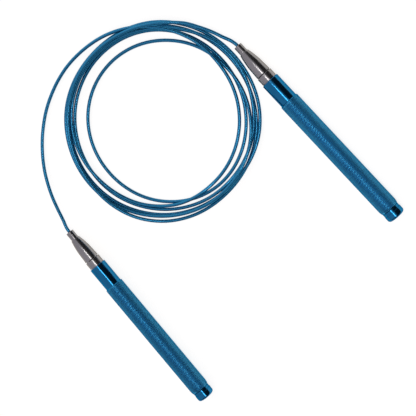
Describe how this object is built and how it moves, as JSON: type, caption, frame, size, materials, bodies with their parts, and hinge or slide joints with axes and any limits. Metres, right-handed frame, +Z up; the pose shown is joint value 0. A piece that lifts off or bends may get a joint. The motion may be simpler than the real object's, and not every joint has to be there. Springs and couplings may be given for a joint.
{
  "type": "jump rope",
  "caption": "Speed jump rope: a thin coated cable, loosely coiled, with a slim knurled handle on each end that spins on ball bearings behind a push-to-release cable lock.",
  "frame": {"origin": "on the floor, under the middle of the box round the handles", "axes": "+Z up; seen from above, +X and +Y are right and up in the picture"},
  "size_m": [0.2733, 0.2893, 0.015],
  "materials": {
    "bright_steel": "polished, bright",
    "bearing_steel": "ground and polished",
    "spring_steel": "drawn wire and strip, oiled",
    "cage_brass": "plain",
    "blue_anodised": "blue anodised, satin on the knurl and bright on the neck and the cap",
    "blue_coating": "clear-gloss blue coating over a twisted steel core",
    "crimp_aluminium": "plain, crimped",
    "black_rubber": "matt"
  },
  "bodies": {
    "rope": {"cable_coil": "blue_coating", "cable_lead_a": "blue_coating", "cable_lead_b": "blue_coating", "nose_cone_a": "bright_steel", "spindle_a": "bright_steel", "front_inner_race_a": "bearing_steel", "rear_inner_race_a": "bearing_steel", "inner_spacer_a": "bright_steel", "spindle_nut_a": "bright_steel", "cable_tail_a": "blue_coating", "tail_ferrule_a": "crimp_aluminium", "nose_cone_b": "bright_steel", "spindle_b": "bright_steel", "front_inner_race_b": "bearing_steel", "rear_inner_race_b": "bearing_steel", "inner_spacer_b": "bright_steel", "spindle_nut_b": "bright_steel", "cable_tail_b": "blue_coating", "tail_ferrule_b": "crimp_aluminium"},
    "handle_a": {"grip_tube_a": "blue_anodised", "bearing_carrier_a": "bright_steel", "front_outer_race_a": "bearing_steel", "rear_outer_race_a": "bearing_steel", "outer_spacer_a": "bright_steel", "bearing_circlip_a": "spring_steel", "end_cap_a": "blue_anodised", "end_cap_oring_a": "black_rubber"},
    "cages_a": {"front_ball_cage_a": "cage_brass", "rear_ball_cage_a": "cage_brass"},
    "release_a": {"release_plunger_a": "bright_steel", "lock_ball_1_a": "bearing_steel", "lock_ball_2_a": "bearing_steel", "lock_ball_3_a": "bearing_steel", "lock_spring_a": "spring_steel"},
    "handle_b": {"grip_tube_b": "blue_anodised", "bearing_carrier_b": "bright_steel", "front_outer_race_b": "bearing_steel", "rear_outer_race_b": "bearing_steel", "outer_spacer_b": "bright_steel", "bearing_circlip_b": "spring_steel", "end_cap_b": "blue_anodised", "end_cap_oring_b": "black_rubber"},
    "cages_b": {"front_ball_cage_b": "cage_brass", "rear_ball_cage_b": "cage_brass"},
    "release_b": {"release_plunger_b": "bright_steel", "lock_ball_1_b": "bearing_steel", "lock_ball_2_b": "bearing_steel", "lock_ball_3_b": "bearing_steel", "lock_spring_b": "spring_steel"}
  },
  "joints": [
    {"name": "handle_a_spin", "type": "hinge", "parent": "rope", "child": "handle_a", "pos_m": [0.00614, 0.13511, 0.0075], "axis": [0.701, -0.7131, 0], "continuous": true},
    {"name": "cages_a_spin", "type": "hinge", "parent": "rope", "child": "cages_a", "pos_m": [0.00614, 0.13511, 0.0075], "axis": [0.701, -0.7131, 0], "continuous": true},
    {"name": "release_a_push", "type": "slide", "parent": "rope", "child": "release_a", "axis": [0.701, -0.7131, 0], "range_m": [0, 0.0025], "stiffness_N_per_m": 400, "springref_m": -0.003, "deforming": ["lock_spring_a"]},
    {"name": "handle_b_spin", "type": "hinge", "parent": "rope", "child": "handle_b", "pos_m": [-0.12404, -0.00805, 0.0075], "axis": [0.6524, -0.7579, 0], "continuous": true},
    {"name": "cages_b_spin", "type": "hinge", "parent": "rope", "child": "cages_b", "pos_m": [-0.12404, -0.00805, 0.0075], "axis": [0.6524, -0.7579, 0], "continuous": true},
    {"name": "release_b_push", "type": "slide", "parent": "rope", "child": "release_b", "axis": [0.6524, -0.7579, 0], "range_m": [0, 0.0025], "stiffness_N_per_m": 400, "springref_m": -0.003, "deforming": ["lock_spring_b"]}
  ],
  "couplings": [
    {"joint": "cages_a_spin", "follows": "handle_a_spin", "ratio": 0.57143},
    {"joint": "cages_b_spin", "follows": "handle_b_spin", "ratio": 0.57143}
  ]
}
